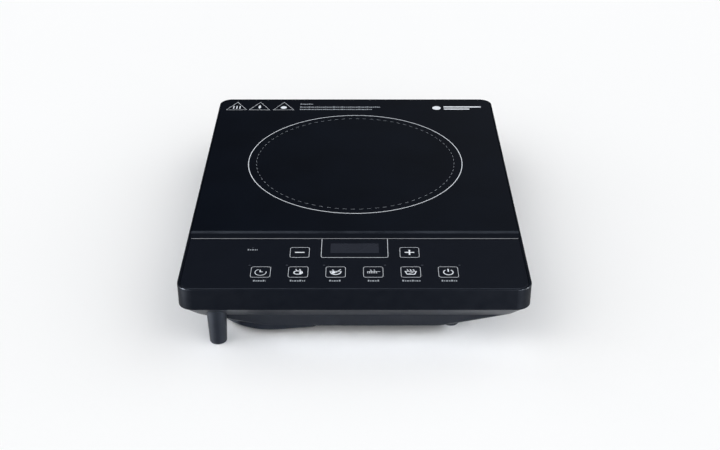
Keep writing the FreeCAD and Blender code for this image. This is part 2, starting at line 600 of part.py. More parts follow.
def coil_sensor():
    return eased(rod(2.3, COIL_X, COIL_Y, COIL_BOTTOM, GLASS_BOTTOM), 0.5, at_height(COIL_BOTTOM))


# ---------------------------------------------------------------- fan
def fan_frame():
    shell = ring(FAN_BORE_R, FAN_RING_R, FAN_X, FAN_Y, FAN_BOTTOM, FAN_TOP)
    base = rod(FAN_HUB_R, FAN_X, FAN_Y, FAN_BOTTOM, FAN_BOTTOM + 2)
    strut = box(FAN_X + 10, FAN_X + 37.5, FAN_Y - 2, FAN_Y + 2, FAN_BOTTOM, FAN_BOTTOM + 2)
    struts = [turned(strut, angle, FAN_X, FAN_Y) for angle in (30, 150, 270)]
    arm = box(FAN_X + FAN_RING_R - 1, FAN_X + FAN_EAR_R, FAN_Y - 3.6, FAN_Y + 3.6, FAN_TOP - 3, FAN_TOP)
    arms = [turned(arm, angle, FAN_X, FAN_Y) for angle in FAN_EAR_ANGLES]
    ears = [rod(3.6, x, y, FAN_TOP - 3, FAN_TOP) for x, y in fan_fixings()]
    holes = [rod(1.8, x, y, 0, HEIGHT) for x, y in fan_fixings()]
    return cut(fuse([shell, base, *struts, *arms, *ears]), holes)


def fan_motor():
    z0 = FAN_BOTTOM + 2
    return ring(FAN_BEARING_R, 11.4, FAN_X, FAN_Y, z0, z0 + 9.5)


def fan_bearing():
    """Plain sleeve that the shaft runs in, with 0.03 of radial play."""
    z0 = FAN_BOTTOM + 2
    return ring(FAN_SHAFT_R + 0.03, FAN_BEARING_R, FAN_X, FAN_Y, z0, z0 + 9.5)


def fan_shaft():
    return rod(FAN_SHAFT_R, FAN_X, FAN_Y, FAN_BOTTOM + 2.4, FAN_TOP - 4.0)


def fan_rotor():
    """Hub cup with tilted blades round it."""
    z0, z1 = FAN_BOTTOM + 3.0, FAN_TOP - 1.5
    hub = rod(FAN_HUB_R, FAN_X, FAN_Y, z0, z1).cut(rod(12.3, FAN_X, FAN_Y, z0 - 1, z1 - 2.5))
    hub = eased(hub, 1.0, at_height(z1))
    middle = (z0 + z1) / 2
    span = ring(FAN_HUB_R - 0.8, FAN_TIP_R, FAN_X, FAN_Y, z0 + 0.5, z1 - 1.2)
    blade = box(FAN_X + 8, FAN_X + 40, FAN_Y - 9.5, FAN_Y + 9.5, middle - 0.7, middle + 0.7)
    blade.rotate(V(FAN_X, FAN_Y, middle), V(1, 0, 0), 34)
    blade = blade.common(span)
    return fuse([hub, *[turned(blade, i * 360 / FAN_BLADES, FAN_X, FAN_Y) for i in range(FAN_BLADES)]])


# ---------------------------------------------------------------- power board
def main_board():
    board = box(MAIN_X0, MAIN_X1, MAIN_Y0, MAIN_Y1, MAIN_BOTTOM, MAIN_TOP)
    return cut(board, [rod(1.6, x, y, 0, HEIGHT) for x, y in MAIN_FIXINGS])


def heatsink():
    base = box(SINK_X0, SINK_X1, SINK_Y0, SINK_Y1, MAIN_TOP + 0.2, MAIN_TOP + 4.2)
    device_wall = box(SINK_X0, SINK_X1, SINK_Y0, SINK_Y0 + 4, MAIN_TOP + 0.2, SINK_TOP)
    fins = []
    for i in range(9):
        y = SINK_Y0 + 8.6 + 4.2 * i
        fins.append(box(SINK_X0, SINK_X1, y, y + 1.6, MAIN_TOP + 4, SINK_TOP))
    sink = fuse([base, device_wall, *fins])
    return cut(sink, [along_y(1.25, x, DEVICE_Z, SINK_Y0 - 1, SINK_Y0 + 3.6) for x in (IGBT_X, BRIDGE_X)])


def power_device(x, width, thick):
    """Flat power package held on the heatsink's front wall, with its legs in the board."""
    y1 = SINK_Y0 - PAD_FILM_T
    body = box(x - width / 2, x + width / 2, y1 - thick, y1, MAIN_TOP + 4, MAIN_TOP + 22)
    legs = []
    for leg_x in (x - 5.4, x, x + 5.4):
        legs.append(box(leg_x - 0.6, leg_x + 0.6, y1 - 2.2, y1 - 1.5, MAIN_TOP, MAIN_TOP + 4.5))
    return cut(fuse([body, *legs]), [along_y(1.7, x, DEVICE_Z, y1 - 9, y1 + 1)])


def insulator_pads():
    pads = []
    for x in (IGBT_X, BRIDGE_X):
        film = box(x - 10, x + 10, SINK_Y0 - PAD_FILM_T, SINK_Y0, MAIN_TOP + 3, MAIN_TOP + 23)
        pads.append(film.cut(along_y(1.7, x, DEVICE_Z, SINK_Y0 - 1, SINK_Y0 + 1)))
    return Part.makeCompound(pads)


def igbt_sensor():
    """Temperature bead clipped to the heatsink's front wall, between the two power devices."""
    x = (IGBT_X + BRIDGE_X) / 2 - 1.0
    bead = box(x - 2.5, x + 2.5, SINK_Y0 - 2.4, SINK_Y0, DEVICE_Z - 3, DEVICE_Z + 3)
    legs = []
    for leg_x in (x - 1.3, x + 1.3):
        legs.append(box(leg_x - 0.3, leg_x + 0.3, SINK_Y0 - 1.5, SINK_Y0 - 0.9, MAIN_TOP, DEVICE_Z - 2))
    return fuse([bead, *legs])


def board_block(x, y, width, depth, height, radius):
    body = box(x - width / 2, x + width / 2, y - depth / 2, y + depth / 2, MAIN_TOP, MAIN_TOP + height)
    return eased(body, radius, lambda e: e.BoundBox.ZMax > MAIN_TOP + 0.1)


def choke_coil():
    """Toroid core with its winding as loops round it."""
    core = ring(TOROID_IN, TOROID_OUT, TOROID_X, TOROID_Y, MAIN_TOP + 1.2, MAIN_TOP + 12.8)
    x0, x1 = TOROID_X + TOROID_IN - 1.2, TOROID_X + TOROID_OUT + 1.2
    loop = box(x0, x1, TOROID_Y - 0.8, TOROID_Y + 0.8, MAIN_TOP, MAIN_TOP + 14)
    return fuse([core, *[turned(loop, angle, TOROID_X, TOROID_Y) for angle in range(20, 341, 16)]])


def electrolytics():
    top = MAIN_TOP + CAN_H
    return Part.makeCompound([eased(rod(CAN_R, x, y, MAIN_TOP, top), 0.8, at_height(top)) for x, y in CANS])


def board_fuse():
    body = Part.makeCylinder(2.6, 20, V(-12, -34, MAIN_TOP + 5), V(1, 0, 0))
    clips = [box(x, x + 5, -37.5, -30.5, MAIN_TOP, MAIN_TOP + 4.0) for x in (-12, 3)]
    return fuse([body, *clips])


def varistor():
    disc = along_y(7.0, 0, MAIN_TOP + 10, -52, -48)
    disc = eased(disc, 1.2, lambda e: e.Length > 40)
    legs = [box(x - 0.4, x + 0.4, -50.4, -49.6, MAIN_TOP, MAIN_TOP + 6) for x in (-3.75, 3.75)]
    return fuse([disc, *legs])


def board_sockets():
    sockets = []
    for x, y, width, depth, height in (FAN_SOCKET, SENSOR_SOCKET, RIBBON_SOCKET):
        sockets.append(board_block(x, y, width, depth, height, 0.4))
    return Part.makeCompound(sockets)


# ---------------------------------------------------------------- wiring
def coil_leads():
    return Part.makeCompound([tube(OUTER_COIL_LEAD, COIL_LEAD_R), tube(INNER_COIL_LEAD, COIL_LEAD_R)])


def ribbon_cable():
    """Flat cable in a shallow fold between the power board and the control board."""
    x, y, z = RIBBON[0]
    direction = (V(*RIBBON[1]) - V(*RIBBON[0])).normalize()
    across = direction.cross(V(1, 0, 0)) * (RIBBON_T / 2)
    along = V(RIBBON_W / 2, 0, 0)
    near, far = V(x, y, z) - across, V(x, y, z) + across
    corners = [near - along, near + along, far + along, far - along]
    return swept(RIBBON, Part.makePolygon([*corners, corners[0]]))


# ---------------------------------------------------------------- fasteners
def screw(x, y, seat, length, up, head_r=2.9, head_h=1.9, shank_r=1.5):
    """Pan-head screw with a cross recess, its shank going up or down from its seat."""
    way = 1 if up else -1
    crown = seat - way * head_h
    head = rod(head_r, x, y, *sorted((seat, crown)))
    shank = rod(shank_r, x, y, *sorted((seat - way * 0.1, seat + way * length)))
    body = eased(fuse([head, shank]), 0.6, at_height(crown))
    z0, z1 = sorted((crown - way * 0.5, crown + way))
    slots = [box(x - a, x + a, y - b, y + b, z0, z1) for a, b in ((1.5, 0.35), (0.35, 1.5))]
    return cut(body, slots)


def screws(spots, *args, **sizes):
    return Part.makeCompound([screw(x, y, *args, **sizes) for x, y in spots])


def device_screws():
    made = []
    for x, thick in ((IGBT_X, IGBT_T), (BRIDGE_X, BRIDGE_T)):
        face = SINK_Y0 - PAD_FILM_T - thick
        head = along_y(2.8, x, DEVICE_Z, face - 1.8, face)
        made.append(fuse([head, along_y(1.25, x, DEVICE_Z, face - 0.1, SINK_Y0 + 3.4)]))
    return Part.makeCompound(made)


def build():
    nodes = {
        "bottom_case": bottom_case(),
        "foot_pads": foot_pads(),
        "top_frame": top_frame(),
        "cord_gland": cord_gland(),
        "glass_plate": glass_plate(),
        "glass_seal": glass_seal(),
        "control_plate": control_plate(),
        "display_window": display_window(),
        "lamp_windows": lamp_windows(),
        "tact_switches": tact_switches(),
        "control_board": control_board(),
        "led_display": led_display(),
        "indicator_lamps": indicator_lamps(),
        "microcontroller": microcontroller(),
        "buzzer": buzzer(),
        "induction_coil": induction_coil(),
        "coil_former": coil_former(),
        "ferrite_bars": ferrite_bars(),
        "mica_sheet": mica_sheet(),
        "sensor_holder": sensor_holder(),
        "coil_sensor": coil_sensor(),
        "fan_frame": fan_frame(),
        "fan_motor": fan_motor(),
        "fan_bearing": fan_bearing(),
        "fan_shaft": fan_shaft(),
        "fan_rotor": fan_rotor(),
        "main_board": main_board(),
        "heatsink": heatsink(),
        "igbt": power_device(IGBT_X, IGBT_W, IGBT_T),
        "bridge_rectifier": power_device(BRIDGE_X, BRIDGE_W, BRIDGE_T),
        "insulator_pads": insulator_pads(),
        "igbt_sensor": igbt_sensor(),
        "choke_coil": choke_coil(),
        "electrolytic_capacitors": electrolytics(),
        "board_fuse": board_fuse(),
        "varistor": varistor(),
        "board_sockets": board_sockets(),
        "coil_leads": coil_leads(),
        "sensor_lead": tube(SENSOR_LEAD, THIN_LEAD_R),
        "fan_lead": tube(FAN_LEAD, THIN_LEAD_R),
        "ribbon_cable": ribbon_cable(),
        "case_screws": screws(CASE_SCREWS, CASE_SCREW_SEAT, 14.0, True, head_r=3.2, head_h=2.2),
        "main_board_screws": screws(MAIN_FIXINGS, MAIN_TOP, 4.4, False),
        "control_board_screws": screws(
            CONTROL_FIXINGS, CONTROL_TOP - BOARD_T, 6.0, True, head_r=2.4, head_h=1.6, shank_r=1.25
        ),
        "coil_screws": screws(coil_fixings(), COIL_BOTTOM, 14.0, False),
        "fan_screws": screws(fan_fixings(), FAN_TOP, 10.0, False),
        "device_screws": device_screws(),
    }
    for name, sizes in BLOCKS.items():
        nodes[name] = board_block(*sizes)
    for name, (x, y) in KEYS.items():
        nodes["key_" + name] = key(x, y)
    return nodes


def main():
    os.makedirs("parts", exist_ok=True)
    nodes = build()
    for name, shape in nodes.items():
        solids = shape.Solids
        assert solids and all(solid.isValid() and solid.Volume > 0 for solid in solids), name
        kept = solids[0] if len(solids) == 1 else Part.makeCompound(solids)
        kept.exportStep(f"parts/{name}.step")
    print(len(nodes), "nodes")


main()
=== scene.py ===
"""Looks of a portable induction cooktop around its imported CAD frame, in metres.

The glass, case, keys and inner parts are the CAD pieces with better materials. The printed
rings, lines, icons and marks are thin pieces of ink that lie on the glass, plate and keys.
"""

import math

import bmesh
import bpy
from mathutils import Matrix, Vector


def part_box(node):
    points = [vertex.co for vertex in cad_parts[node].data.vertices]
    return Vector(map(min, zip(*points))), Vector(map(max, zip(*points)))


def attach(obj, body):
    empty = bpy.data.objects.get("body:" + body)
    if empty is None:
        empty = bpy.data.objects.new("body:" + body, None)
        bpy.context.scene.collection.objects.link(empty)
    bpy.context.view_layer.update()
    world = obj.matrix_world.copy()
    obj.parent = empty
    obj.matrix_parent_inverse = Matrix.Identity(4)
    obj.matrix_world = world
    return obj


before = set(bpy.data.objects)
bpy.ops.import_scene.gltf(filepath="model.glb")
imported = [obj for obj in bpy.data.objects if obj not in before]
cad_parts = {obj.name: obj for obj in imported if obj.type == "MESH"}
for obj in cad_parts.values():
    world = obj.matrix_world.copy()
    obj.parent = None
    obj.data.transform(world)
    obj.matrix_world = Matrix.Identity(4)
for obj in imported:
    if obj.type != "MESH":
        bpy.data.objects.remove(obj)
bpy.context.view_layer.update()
scene = bpy.context.scene
scene.view_settings.view_transform = "Standard"

MM = 0.001
COOL = (0.72, 0.82, 1.0)
BODY = "housing"

# ---- ink: how far it stands on its surface and reaches into it ----
INK_UP, INK_DOWN = 0.04 * MM, 0.02 * MM

# ---- the camera: place, downward tilt in degrees and lens in millimetres ----
CAMERA_PLACE, CAMERA_TILT, CAMERA_LENS = (0.00442, -0.95994, 0.57310), 30.249, 59.729

# ---- the studio dome: towards, where it starts and is full as a cosine, and strength ----
DOME = (
    ((0, -0.93, 0.36), 0.30, 0.95, 1.18),
    ((0, 0, 1), 0.66, 0.92, 0.17),
    ((-0.88, 0, 0.48), 0.40, 0.95, 1.21),
    ((0.88, 0, 0.48), 0.40, 0.95, 1.12),
    ((1, 0.5, 0.4), 0.20, 1.0, 0.155),
)

# ---- soft boxes: name, place, target, size and power. The first four stand lower than the
# glass, so that they never show in it ----
LAMPS = (
    ("left_strip", (-1.05, -0.58, 0.03), (-0.13, -0.17, 0.03), (0.12, 0.05), 420.0),
    ("right_strip", (1.05, -0.30, 0.03), (0.13, -0.17, 0.03), (0.12, 0.05), 170.0),
    ("right_near", (0.50, -0.75, 0.03), (0.12, -0.18, 0.03), (0.20, 0.05), 110.0),
    ("left_near", (-0.34, -0.50, 0.03), (-0.08, -0.15, 0.03), (0.20, 0.05), 9.0),
    ("overhead_box", (0.0, 0.40, 1.6), (0, -0.1, 0.06), (2.0, 0.5), 12.5),
    ("top_front_box", (0.0, -1.1, 2.0), (0, -0.1, 0.06), (2.2, 0.5), 24.0),
)

# ---- places taken from the CAD pieces ----
glass_low, glass_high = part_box("glass_plate")
plate_low, plate_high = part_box("control_plate")
coil_low, coil_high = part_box("induction_coil")
window_low, window_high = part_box("display_window")
GLASS_TOP, PLATE_TOP = glass_high.z, plate_high.z
COIL = (coil_low + coil_high) / 2
WINDOW = (window_low + window_high) / 2


# =====================================================================================
# Camera, floor and light
# =====================================================================================
def add_camera():
    data = bpy.data.cameras.new("camera")
    data.sensor_width, data.lens = 36.0, CAMERA_LENS
    camera = bpy.data.objects.new("camera", data)
    camera.location = CAMERA_PLACE
    camera.rotation_euler = (math.radians(90 - CAMERA_TILT), 0, 0)
    scene.collection.objects.link(camera)
    scene.camera = camera


def add_area(name, place, target, size, power):
    """A soft box that shows only in glossy surfaces, not on matt ones or to the camera."""
    data = bpy.data.lights.new(name, "AREA")
    data.shape = "RECTANGLE"
    data.size, data.size_y = size
    data.energy = power
    lamp = bpy.data.objects.new(name, data)
    lamp.visible_diffuse = lamp.visible_camera = False
    lamp.location = place
    lamp.rotation_euler = (Vector(target) - Vector(place)).to_track_quat("-Z", "Y").to_euler()
    scene.collection.objects.link(lamp)


def add_world():
    """A soft studio dome: bright in front and at both sides, dim overhead and behind on the right."""
    world = bpy.data.worlds.new("studio")
    scene.world = world
    world.use_nodes = True
    nodes, links = world.node_tree.nodes, world.node_tree.links
    direction = nodes.new("ShaderNodeTexCoord").outputs["Generated"]

    def share(towards, start, end, strength):
        """Light that grows as the direction turns towards this vector."""
        dot = nodes.new("ShaderNodeVectorMath")
        dot.operation = "DOT_PRODUCT"
        dot.inputs[1].default_value = Vector(towards).normalized()
        links.new(direction, dot.inputs[0])
        ramp = nodes.new("ShaderNodeMapRange")
        ramp.interpolation_type = "SMOOTHSTEP"
        ramp.inputs["From Min"].default_value = start
        ramp.inputs["From Max"].default_value = end
        ramp.inputs["To Max"].default_value = strength
        links.new(dot.outputs["Value"], ramp.inputs["Value"])
        return ramp.outputs["Result"]

    total = None
    for towards, start, end, strength in DOME:
        part = share(towards, start, end, strength)
        if total is not None:
            add = nodes.new("ShaderNodeMath")
            add.operation = "ADD"
            links.new(total, add.inputs[0])
            links.new(part, add.inputs[1])
            part = add.outputs[0]
        total = part
    background = nodes["Background"]
    links.new(total, background.inputs["Strength"])
    background.inputs["Color"].default_value = (1, 1, 1, 1)


# =====================================================================================
# Materials
# =====================================================================================
class Finish:
    """One material's node tree, with short calls for what the finishes share."""

    def __init__(self, name, colour, rough, metal=0.0, gloss=0.5):
        self.material = bpy.data.materials.new(name)
        self.material.use_nodes = True
        self.tree = self.material.node_tree
        self.shader = self.tree.nodes["Principled BSDF"]
        self.colour = colour
        self.set("Base Color", (*colour, 1))
        self.set("Roughness", rough)
        self.set("Metallic", metal)
        self.set("Specular IOR Level", gloss)
        if not metal:
            self.set("Specular Tint", (*COOL, 1))
        self.place = self.tree.nodes.new("ShaderNodeTexCoord").outputs["Object"]

    def set(self, socket, value):
        self.shader.inputs[socket].default_value = value

    def feed(self, socket, output):
        self.tree.links.new(output, self.shader.inputs[socket])

    def new(self, kind, links=(), **values):
        node = self.tree.nodes.new(kind)
        for socket, value in values.items():
            node.inputs[socket.replace("_", " ")].default_value = value
        for socket, output in links:
            self.tree.links.new(output, node.inputs[socket])
        return node

    def stretched(self, scale):
        node = self.new("ShaderNodeMapping", [("Vector", self.place)])
        node.inputs["Scale"].default_value = scale
        return node.outputs["Vector"]

    def noise(self, size, detail=2.0, place=None):
        """A cloudy pattern whose patches are about this many metres across."""
        links = [("Vector", place or self.place)]
        return self.new("ShaderNodeTexNoise", links, Scale=1 / size, Detail=detail).outputs["Fac"]

    def cells(self, size):
        links = [("Vector", self.place)]
        return self.new("ShaderNodeTexVoronoi", links, Scale=1 / size).outputs["Distance"]

    def between(self, pattern, low, high, start=0.3, end=0.7):
        node = self.new("ShaderNodeMapRange", [("Value", pattern)])
        node.inputs["From Min"].default_value = start
        node.inputs["From Max"].default_value = end
        node.inputs["To Min"].default_value = low
        node.inputs["To Max"].default_value = high
        return node.outputs["Result"]

    def blend(self, pattern, first, second):
        node = self.tree.nodes.new("ShaderNodeMix")
        node.data_type = "RGBA"
        self.tree.links.new(pattern, node.inputs[0])
        for socket, colour in ((6, first), (7, second)):
            node.inputs[socket].default_value = (*colour, 1)
        return node.outputs[2]

    def shade(self, pattern, by):
        """Darkens and lightens the base colour by this share along a pattern."""
        dark = tuple(c * (1 - by) for c in self.colour)
        light = tuple(c * (1 + by) for c in self.colour)
        self.feed("Base Color", self.blend(self.between(pattern, 0, 1), dark, light))

    def relief(self, height, depth, under=None):
        links = [("Height", height)] + ([("Normal", under)] if under else [])
        node = self.new("ShaderNodeBump", links, Strength=1.0, Distance=depth)
        return node.outputs["Normal"]


def moulded(name, colour, rough, gloss=0.5, grain=0.5 * MM, depth=0.01 * MM, by=0.12, uneven=0.05):
    """Moulded plastic or rubber: fine grain, faint clouding and uneven gloss."""
    f = Finish(name, colour, rough, gloss=gloss)
    f.shade(f.noise(18 * MM, 3), by)
    f.feed("Roughness", f.between(f.noise(7 * MM, 2), rough - uneven, rough + uneven))
    f.feed("Normal", f.relief(f.noise(grain, 2), depth))
    return f.material


def frame_moulding(name):
    """The moulded plastic of the frame, dark, with painted light: faces that point up are painted
    paler, a painted sheen that stands in for light from above.
    """
    # The dark colour is the frame's own; the paler one is painted light for its upward faces
    dark, painted_top_light = (0.0018, 0.0028, 0.0060), (0.0066, 0.0082, 0.0126)
    f = Finish(name, dark, 0.36, gloss=0.026)
    normal = f.tree.nodes.new("ShaderNodeTexCoord").outputs["Normal"]
    upward = f.new("ShaderNodeSeparateXYZ", [("Vector", normal)]).outputs["Z"]
    cloud = f.between(f.noise(18 * MM, 3), 0.93, 1.0)
    # Painted light: the colour turns paler on upward faces, a painted sheen on the tops, faintly
    # clouded
    painted_top_light_mask = f.new("ShaderNodeMath", [(0, f.between(upward, 0, 1, 0.6, 1.0)), (1, cloud)])
    painted_top_light_mask.operation = "MULTIPLY"
    f.feed("Base Color", f.blend(painted_top_light_mask.outputs[0], dark, painted_top_light))
    f.feed("Roughness", f.between(f.noise(7 * MM, 2), 0.34, 0.38))
    f.feed("Normal", f.relief(f.noise(1.0 * MM, 2), 0.0020 * MM))
    return f.material


def polished_glass(name):
    """Black glass-ceramic: nearly a mirror, with a faint ripple and a veil of fine haze."""
    f = Finish(name, (0.0026, 0.0041, 0.0080), 0.09, gloss=0.36)
    f.shade(f.noise(60 * MM, 2), 0.16)
    f.feed("Roughness", f.between(f.noise(24 * MM, 4), 0.06, 0.12))
    ripple = f.relief(f.noise(30 * MM, 1), 0.012 * MM)
    f.feed("Normal", f.relief(f.noise(0.8 * MM, 2), 0.0006 * MM, under=ripple))
    return f.material


def metal(name, colour, rough, grain=(1, 1, 12)):
    """Rolled, drawn or turned metal: long fine scratches and dull patches."""
    f = Finish(name, colour, rough, metal=1.0)
    scratches = f.noise(1.2 * MM, 3, f.stretched(grain))
    f.shade(scratches, 0.18)
    f.feed("Roughness", f.between(f.noise(6 * MM, 3), rough - 0.08, rough + 0.1))
    f.feed("Normal", f.relief(scratches, 0.006 * MM))
    return f.material


def circuit_board(name):
    """Laminate under green lacquer, with paler copper tracks that run across it."""
    f = Finish(name, (0.012, 0.075, 0.035), 0.32)
    bricks = f.new("ShaderNodeTexBrick", [("Vector", f.place)], Scale=95.0, Mortar_Size=0.09)
    tracks = f.between(bricks.outputs["Fac"], 0, 1, 0.4, 0.6)
    f.feed("Base Color", f.blend(tracks, (0.010, 0.065, 0.030), (0.020, 0.125, 0.055)))
    f.feed("Roughness", f.between(f.noise(3 * MM, 2), 0.25, 0.4))
    f.feed("Normal", f.relief(tracks, 0.02 * MM))
    return f.material


def stranded_copper(name):
    """Lacquered strands, as fine ridges along the winding with copper and brown tones."""
    f = Finish(name, (0.36, 0.13, 0.05), 0.36, metal=0.75)
    strands = f.noise(0.35 * MM, 3)
    f.feed("Base Color", f.blend(f.between(strands, 0, 1), (0.22, 0.07, 0.03), (0.50, 0.20, 0.08)))
    f.feed("Roughness", f.between(f.noise(4 * MM, 2), 0.28, 0.45))
    f.feed("Normal", f.relief(strands, 0.03 * MM))
    return f.material


def mineral(name, colour, rough, size, by, depth):
    """Pressed or fired material: speckled and slightly pitted."""
    f = Finish(name, colour, rough)
    f.shade(f.noise(size, 5), by)
    f.feed("Roughness", f.between(f.noise(4 * size, 2), rough - 0.06, rough + 0.06))
    f.feed("Normal", f.relief(f.cells(size), depth))
    return f.material


def ink(name, colour):
    """Fired screen print: matt, with a slightly uneven coat."""
    f = Finish(name, colour, 0.5, gloss=0.3)
    f.shade(f.noise(3 * MM, 3), 0.06)
    f.feed("Roughness", f.between(f.noise(1 * MM, 2), 0.42, 0.58))
    f.feed("Normal", f.relief(f.noise(0.3 * MM, 1), 0.004 * MM))
    return f.material


# Grain size, grain depth, clouding and unevenness of gloss, for the three smoothest plastics
SATIN = (1.0 * MM, 0.0020 * MM, 0.08, 0.02)
FINE = (0.8 * MM, 0.0006 * MM, 0.04, 0.015)
CLEAR = (0.6 * MM, 0.001 * MM, 0.03, 0.02)
FINISHES = {
    "case_plastic": moulded("case_plastic", (0.0056, 0.0074, 0.0124), 0.30, 0.13, *SATIN),
    "frame_plastic": frame_moulding("frame_plastic"),
    "panel_plastic": moulded("panel_plastic", (0.0054, 0.0071, 0.0120), 0.24, 0.20, *FINE),
    "key_plastic": moulded("key_plastic", (0.0054, 0.0071, 0.0120), 0.24, 0.20, *FINE),
    "black_glass": polished_glass("black_glass"),
    "smoked_window": moulded("smoked_window", (0.021, 0.024, 0.034), 0.18, 0.45, *CLEAR),
    "lamp_lens": moulded("lamp_lens", (0.022, 0.025, 0.034), 0.35, grain=0.3 * MM),
    "pad_rubber": moulded("pad_rubber", (0.012, 0.013, 0.016), 0.78, 0.3, 0.3 * MM, 0.03 * MM),
    "gland_rubber": moulded("gland_rubber", (0.014, 0.015, 0.018), 0.6, 0.35, 0.4 * MM, 0.02 * MM),
    "seal_silicone": moulded("seal_silicone", (0.52, 0.52, 0.50), 0.55, 0.4, 0.6 * MM),
    "switch_plastic": moulded("switch_plastic", (0.020, 0.020, 0.022), 0.4),
    "board_laminate": circuit_board("board_laminate"),
    "display_plastic": moulded("display_plastic", (0.035, 0.036, 0.040), 0.3),
    "component_black": moulded("component_black", (0.014, 0.014, 0.015), 0.55, grain=0.25 * MM),
    "litz_copper": stranded_copper("litz_copper"),
    "former_resin": mineral("former_resin", (0.05, 0.045, 0.04), 0.55, 1 * MM, 0.3, 0.02 * MM),
    "ferrite": mineral("ferrite", (0.035, 0.035, 0.038), 0.5, 0.7 * MM, 0.35, 0.03 * MM),
    "mica": mineral("mica", (0.52, 0.46, 0.36), 0.35, 2.5 * MM, 0.25, 0.02 * MM),
    "sensor_glass": moulded("sensor_glass", (0.45, 0.24, 0.12), 0.14, grain=0.8 * MM),
    "fan_plastic": moulded("fan_plastic", (0.018, 0.018, 0.020), 0.42, grain=0.6 * MM),
    "motor_steel": metal("motor_steel", (0.45, 0.45, 0.46), 0.35),
    "bearing_bronze": metal("bearing_bronze", (0.55, 0.36, 0.16), 0.4, (1, 1, 1)),
    "sink_aluminium": metal("sink_aluminium", (0.70, 0.71, 0.72), 0.34),
    "can_aluminium": moulded("can_aluminium", (0.04, 0.04, 0.08), 0.3, 0.5, 0.8 * MM, 0.004 * MM),
    "fuse_ceramic": mineral("fuse_ceramic", (0.62, 0.60, 0.55), 0.5, 0.8 * MM, 0.12, 0.01 * MM),
    "varistor_blue": mineral("varistor_blue", (0.04, 0.10, 0.36), 0.38, 0.6 * MM, 0.2, 0.02 * MM),
    "socket_plastic": moulded("socket_plastic", (0.70, 0.68, 0.60), 0.45),
    "lead_sleeve": mineral("lead_sleeve", (0.58, 0.55, 0.48), 0.7, 0.5 * MM, 0.25, 0.05 * MM),
    "lead_white": moulded("lead_white", (0.70, 0.70, 0.68), 0.45),
    "lead_red": moulded("lead_red", (0.42, 0.03, 0.02), 0.45),
    "ribbon_grey": moulded("ribbon_grey", (0.30, 0.31, 0.33), 0.5),
    "screw_steel": metal("screw_steel", (0.52, 0.53, 0.55), 0.32, (1, 1, 6)),
    "film_capacitor": mineral("film_capacitor", (0.46, 0.30, 0.05), 0.4, 0.9 * MM, 0.15, 0.01 * MM),
}
INK_WHITE = ink("ink_white", (0.78, 0.82, 0.88))
INK_GREY = ink("ink_grey", (0.34, 0.37, 0.41))
INK_SILVER = ink("ink_silver", (0.42, 0.43, 0.45))


def dress_frame():
    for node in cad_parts.values():
        for holder in node.material_slots:
            holder.material = FINISHES[holder.material.name.split(".")[0]]


# =====================================================================================
# Flat shapes, as lists of points in millimetres round a centre
# =====================================================================================
def circle(radius, cx=0.0, cy=0.0, start=0.0, end=360.0, step=3.0):
    """Points along an arc in degrees. A full turn leaves out its last point."""
    count = max(2, round(abs(end - start) / step))
    whole = abs(end - start) >= 360
    turns = [math.radians(start + (end - start) * i / count) for i in range(count + (not whole))]
    return [(cx + radius * math.cos(t), cy + radius * math.sin(t)) for t in turns]


def rounded(x0, y0, x1, y1, radius):
    corners = ((x1, y0, -90), (x1, y1, 0), (x0, y1, 90), (x0, y0, 180))
    points = []
    for x, y, start in corners:
        cx = x + (radius if x == x0 else -radius)
        cy = y + (radius if y == y0 else -radius)
        points += circle(radius, cx, cy, start, start + 90, 15)
    return points


def wave(x, y0, y1):
    """An upright wavy line of steam, one whole wave high."""
    swing, count = 0.4, 8
    steps = [i / count for i in range(count + 1)]
    return [(x + swing * math.sin(2 * math.pi * s), y0 + (y1 - y0) * s) for s in steps]


class Print:
    """A thin layer of ink on one surface, gathered shape by shape and then made as one piece."""

    def __init__(self, name, top, body=BODY, centre=(0.0, 0.0), colour=None):
        self.name, self.top, self.body = name, top, body
        self.cx, self.cy = centre
        self.colour = colour or INK_WHITE
        self.mesh = bmesh.new()

    def _ring(self, points, z):
        places = [(self.cx + x * MM, self.cy + y * MM, z) for x, y in points]
        return [self.mesh.verts.new(p) for p in places]

    def area(self, points):
        """A filled shape with square edges."""
        low = self._ring(points, self.top - INK_DOWN)
        high = self._ring(points, self.top + INK_UP)
        self.mesh.faces.new(high)
        self.mesh.faces.new(list(reversed(low)))
        for i in range(len(points)):
            j = (i + 1) % len(points)
            self.mesh.faces.new((low[i], low[j], high[j], high[i]))

    def line(self, points, width, closed=False):
        """A line of even width along these points."""
        count = len(points)
        left, right = [], []
        for i, here in enumerate(points):
            before = points[i - 1] if (i or closed) else None
            after = points[(i + 1) % count] if (i < count - 1 or closed) else None
            a = Vector(here) - Vector(before) if before else Vector(after) - Vector(here)
            b = Vector(after) - Vector(here) if after else a
            a, b = a.normalized(), b.normalized()
            side = (a + b).normalized()
            across = Vector((-side.y, side.x))
            reach = width / 2 / max(0.35, abs(across.dot(Vector((-a.y, a.x)))))
            left.append((here[0] + across.x * reach, here[1] + across.y * reach))
            right.append((here[0] - across.x * reach, here[1] - across.y * reach))
        low_z, high_z = self.top - INK_DOWN, self.top + INK_UP
        section = ((left, low_z), (left, high_z), (right, high_z), (right, low_z))
        loops = [self._ring(side_points, z) for side_points, z in section]
        for i in range(count if closed else count - 1):
            j = (i + 1) % count
            for k in range(4):
                m = (k + 1) % 4
                self.mesh.faces.new((loops[k][i], loops[m][i], loops[m][j], loops[k][j]))
        if not closed:
            self.mesh.faces.new([loop[0] for loop in reversed(loops)])
            self.mesh.faces.new([loop[-1] for loop in loops])

    def make(self):
        bmesh.ops.recalc_face_normals(self.mesh, faces=self.mesh.faces)
        data = bpy.data.meshes.new(self.name)
        self.mesh.to_mesh(data)
        self.mesh.free()
        data.materials.append(self.colour)
        piece = bpy.data.objects.new(self.name, data)
        scene.collection.objects.link(piece)
        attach(piece, self.body)


